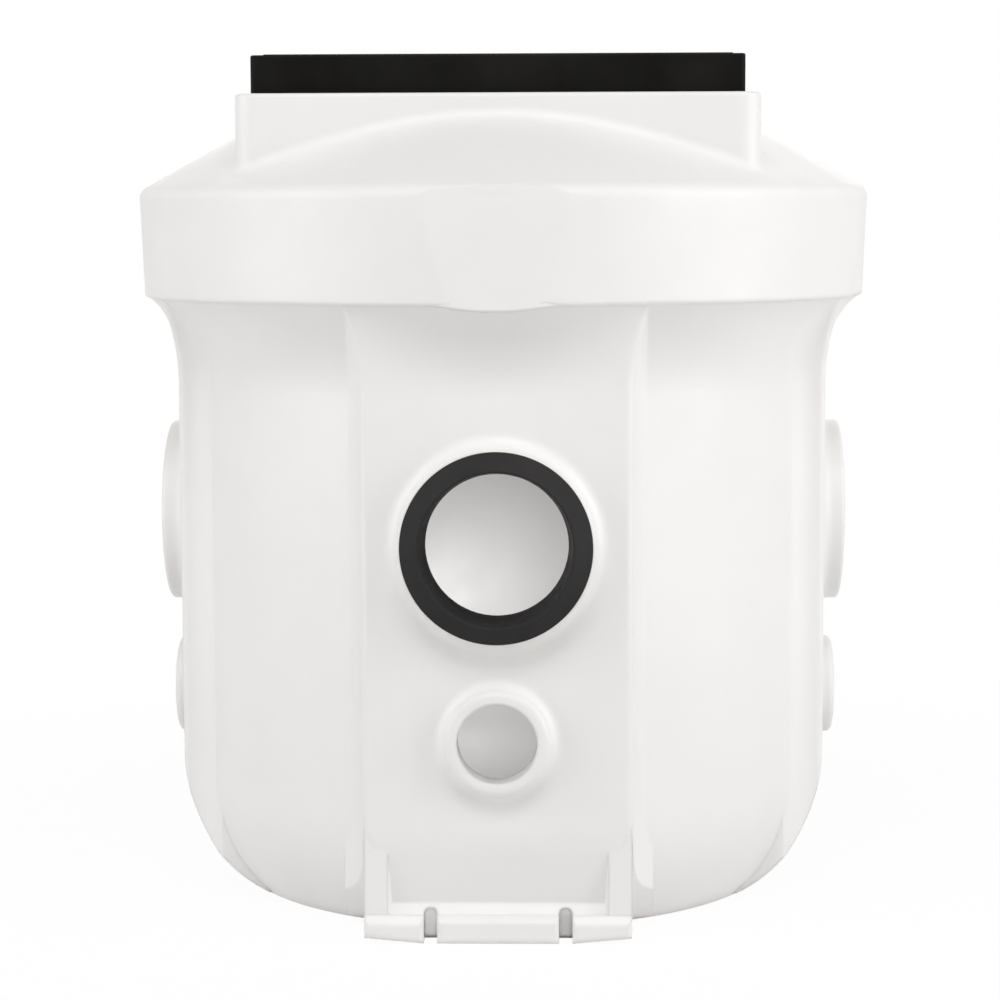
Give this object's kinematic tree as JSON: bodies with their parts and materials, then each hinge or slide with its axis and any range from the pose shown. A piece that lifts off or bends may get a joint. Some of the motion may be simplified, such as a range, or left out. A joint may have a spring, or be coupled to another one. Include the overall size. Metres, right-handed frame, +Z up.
{
  "type": "sewage pumping station",
  "caption": "White under-floor sewage tank with a black square frame and lid, pipe stubs with a rubber inlet seal, and a pump with check valve and level float inside.",
  "frame": {"origin": "centre of the tank's flat floor, on the ground", "axes": "+Z up, -Y out of the open inlet at the front, +X to the right seen from the front"},
  "size_m": [0.5942, 0.5891, 0.6672],
  "materials": {
    "pe_white": "satin white polyethylene with a soft moulded skin",
    "black_plastic": "black moulded plastic, slightly rough",
    "black_rubber": "matt black rubber",
    "stainless": "brushed stainless steel",
    "brass": "plain machined brass",
    "cast_iron": "dark coated casting",
    "grey_pipe": "grey pressure pipe plastic",
    "grey_plastic": "dark grey moulded plastic"
  },
  "bodies": {
    "tank_body": {"tank": "pe_white", "inlet_seal": "black_rubber", "frame_strip": "black_rubber", "strainer": "black_plastic", "volute": "cast_iron", "seal_flange": "cast_iron", "shaft_seal": "brass", "motor": "stainless", "motor_cap": "black_plastic", "flange_screws": "stainless", "cap_screws": "stainless", "carry_handle": "stainless", "pump_gland": "black_plastic", "union_nut": "grey_pipe", "elbow": "grey_pipe", "valve_body": "grey_pipe", "flap_pin": "stainless", "valve_gasket": "black_rubber", "valve_bonnet": "grey_pipe", "valve_screws": "stainless", "discharge_pipe": "grey_pipe", "outlet_grommet": "black_rubber", "cable_gland": "black_plastic", "gland_nut": "black_plastic", "float_clamp": "grey_plastic", "float_rod": "stainless", "switch_head": "black_plastic"},
    "frame_body": {"frame": "black_plastic", "lid_gasket": "black_rubber", "lid_inserts": "brass"},
    "lid_body": {"lid": "black_plastic", "lid_screws": "stainless"},
    "rotor_body": {"impeller": "cast_iron", "shaft": "stainless"},
    "flap_body": {"flap": "black_rubber"},
    "float_body": {"float": "grey_plastic"}
  },
  "joints": [
    {"name": "frame_height", "type": "slide", "parent": "tank_body", "child": "frame_body", "axis": [0, 0, 1], "range_m": [-0.029, 0.03]},
    {"name": "lid_lift", "type": "slide", "parent": "frame_body", "child": "lid_body", "axis": [0, 0, 1], "range_m": [0, 0.12]},
    {"name": "impeller_spin", "type": "hinge", "parent": "tank_body", "child": "rotor_body", "pos_m": [0.136, 0.02, 0.052], "axis": [0, 0, 1], "continuous": true},
    {"name": "flap_swing", "type": "hinge", "parent": "tank_body", "child": "flap_body", "pos_m": [0.101, 0.172, 0.2228], "axis": [-1, 0, 0], "range_deg": [0, 60]},
    {"name": "float_rise", "type": "slide", "parent": "tank_body", "child": "float_body", "axis": [0, 0, 1], "range_m": [0, 0.095]}
  ]
}
